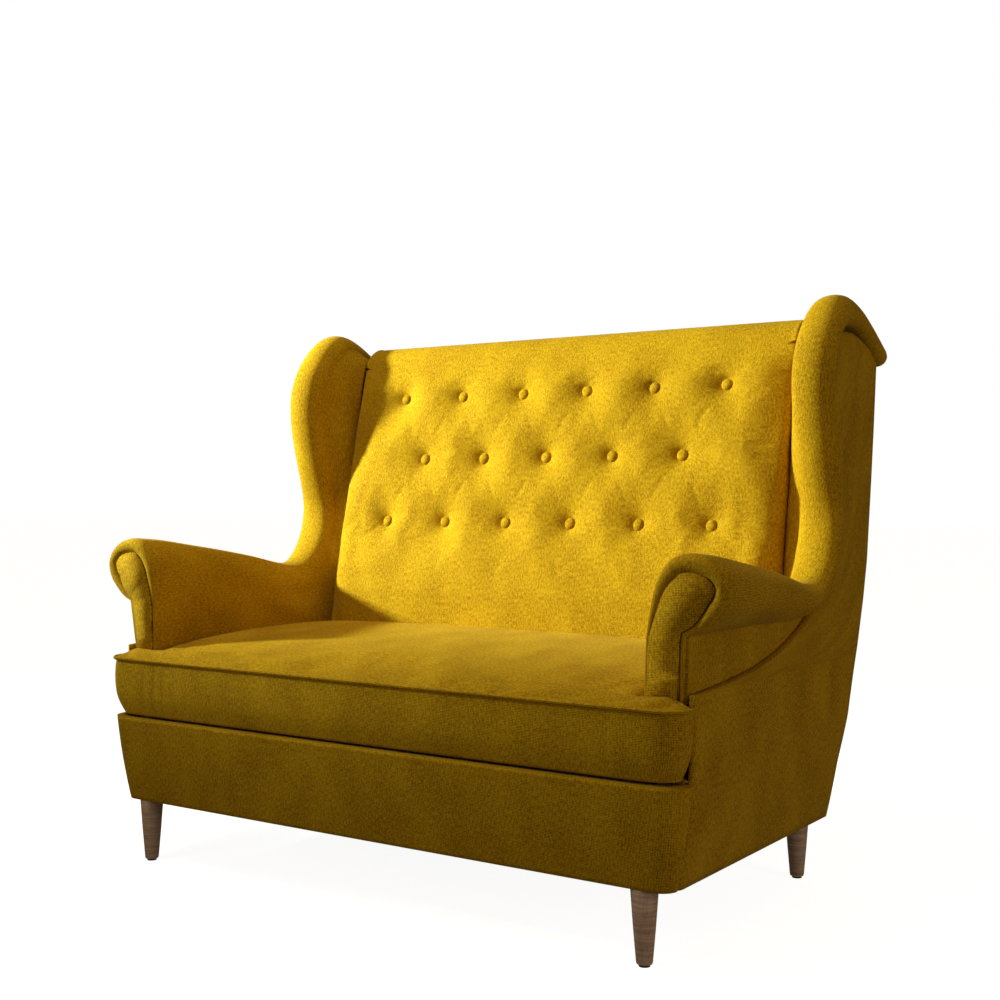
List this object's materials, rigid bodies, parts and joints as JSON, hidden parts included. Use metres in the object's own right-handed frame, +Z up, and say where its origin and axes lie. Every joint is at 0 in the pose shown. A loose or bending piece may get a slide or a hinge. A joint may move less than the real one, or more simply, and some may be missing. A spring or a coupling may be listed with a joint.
{
  "type": "wing sofa",
  "caption": "Two-seat wing-back sofa with a buttoned back, scroll arms, a tight seat and tapered wooden legs.",
  "frame": {"origin": "on the floor under the middle of the sofa's box", "axes": "+X across the sofa to the right seen from the front, +Y to the back, +Z up"},
  "size_m": [1.364, 0.854, 1.0868],
  "materials": {
    "cover_fabric": "woven, mottled",
    "leg_wood": "satin stain",
    "frame_wood": "raw",
    "steel": "zinc plated",
    "plastic": "matt",
    "lining": "non-woven"
  },
  "bodies": {
    "root": {"arm_board_left": "frame_wood", "arm_board_right": "frame_wood", "arm_facing_left": "cover_fabric", "arm_facing_right": "cover_fabric", "arm_pad_left": "cover_fabric", "arm_pad_right": "cover_fabric", "back_cushion": "cover_fabric", "back_lower_rail": "frame_wood", "back_post_left": "frame_wood", "back_post_right": "frame_wood", "back_straps": "lining", "back_top_rail": "frame_wood", "button_twines": "lining", "buttons_bottom_row": "cover_fabric", "buttons_middle_row": "cover_fabric", "buttons_top_row": "cover_fabric", "centre_stretcher": "frame_wood", "corner_block_front_left": "frame_wood", "corner_block_front_right": "frame_wood", "corner_block_rear_left": "frame_wood", "corner_block_rear_right": "frame_wood", "cover_staples": "steel", "dust_cover": "lining", "facing_welt_left": "cover_fabric", "facing_welt_right": "cover_fabric", "foot_glides": "plastic", "frame_dowels": "frame_wood", "front_band": "cover_fabric", "front_post_left": "frame_wood", "front_post_right": "frame_wood", "front_rail": "frame_wood", "hanger_bolts": "steel", "leg_front_left": "leg_wood", "leg_front_right": "leg_wood", "leg_inserts": "steel", "leg_rear_left": "leg_wood", "leg_rear_right": "leg_wood", "outer_arm_left": "cover_fabric", "outer_arm_right": "cover_fabric", "outer_back": "cover_fabric", "outer_side_left": "cover_fabric", "outer_side_right": "cover_fabric", "rear_rail": "frame_wood", "seat_cushion": "cover_fabric", "seat_springs": "steel", "seat_welt": "cover_fabric", "side_rail_left": "frame_wood", "side_rail_right": "frame_wood", "spring_clips": "steel", "spring_felt": "lining", "twine_toggles": "plastic", "wing_pad_left": "cover_fabric", "wing_pad_right": "cover_fabric", "wing_panel_left": "frame_wood", "wing_panel_right": "frame_wood"}
  },
  "joints": []
}
